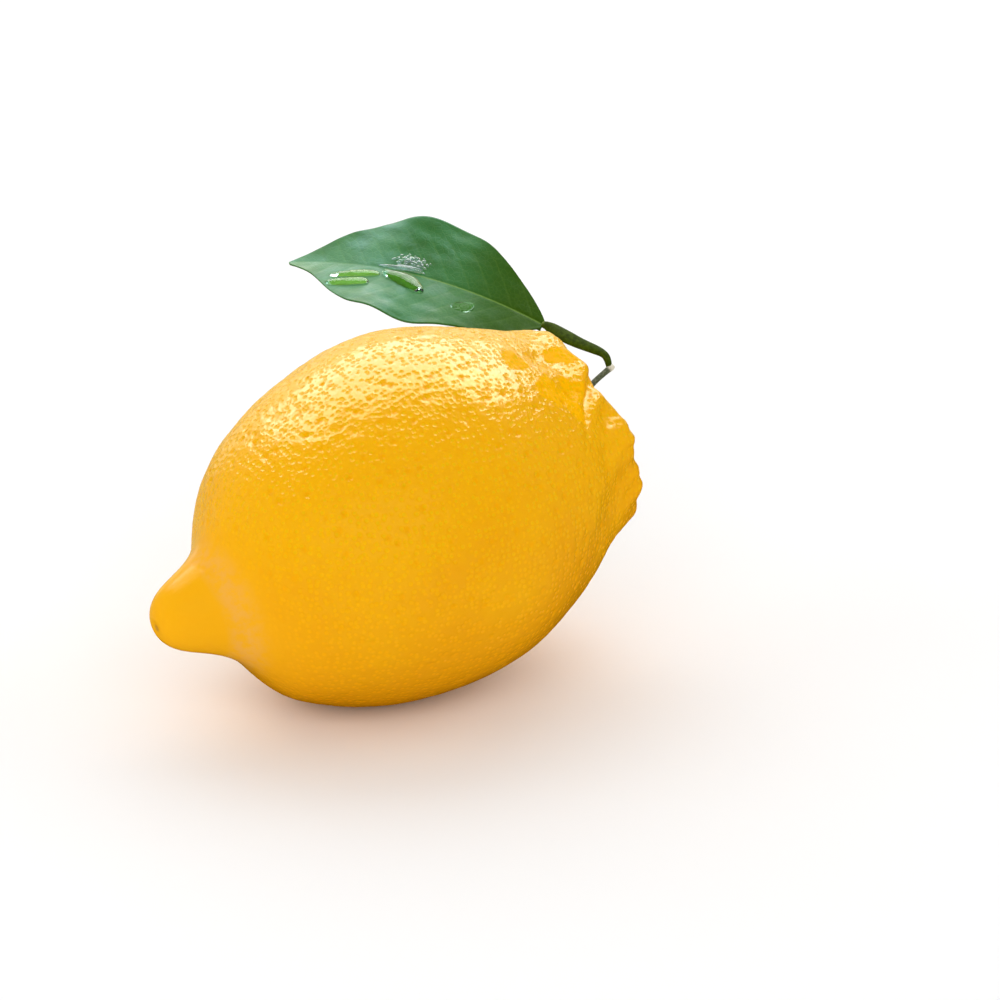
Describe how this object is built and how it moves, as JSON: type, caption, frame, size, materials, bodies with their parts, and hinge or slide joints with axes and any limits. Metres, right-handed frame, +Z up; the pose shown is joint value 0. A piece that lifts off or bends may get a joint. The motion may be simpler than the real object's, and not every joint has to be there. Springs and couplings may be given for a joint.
{
  "type": "lemon with leaf",
  "caption": "Whole lemon lying on its side, nipple at one end and ribbed neck at the other, with calyx, short cut stalk and one leaf on a winged leaf stalk.",
  "frame": {"origin": "middle of the load on the small flat spot under the fruit, straight below its centre of mass, on the surface it rests on", "axes": "+X along the fruit from its nipple to its raised stem end, +Z up, +Y towards the side that the leaf grows to"},
  "size_m": [0.0876, 0.0749, 0.0635],
  "materials": {
    "rind": "waxy, pitted with oil glands, soft gloss",
    "calyx": "dull, slightly woody green",
    "twig": "dull grey-green bark, pale at the cut",
    "leaf_stalk": "smooth, slightly glossy",
    "leaf": "glossy waxy upper side, paler matt underside"
  },
  "bodies": {
    "root": {"fruit": "rind", "calyx": "calyx", "stalk": "twig", "leaf_stalk": "leaf_stalk", "leaf_blade": "leaf"}
  },
  "joints": []
}
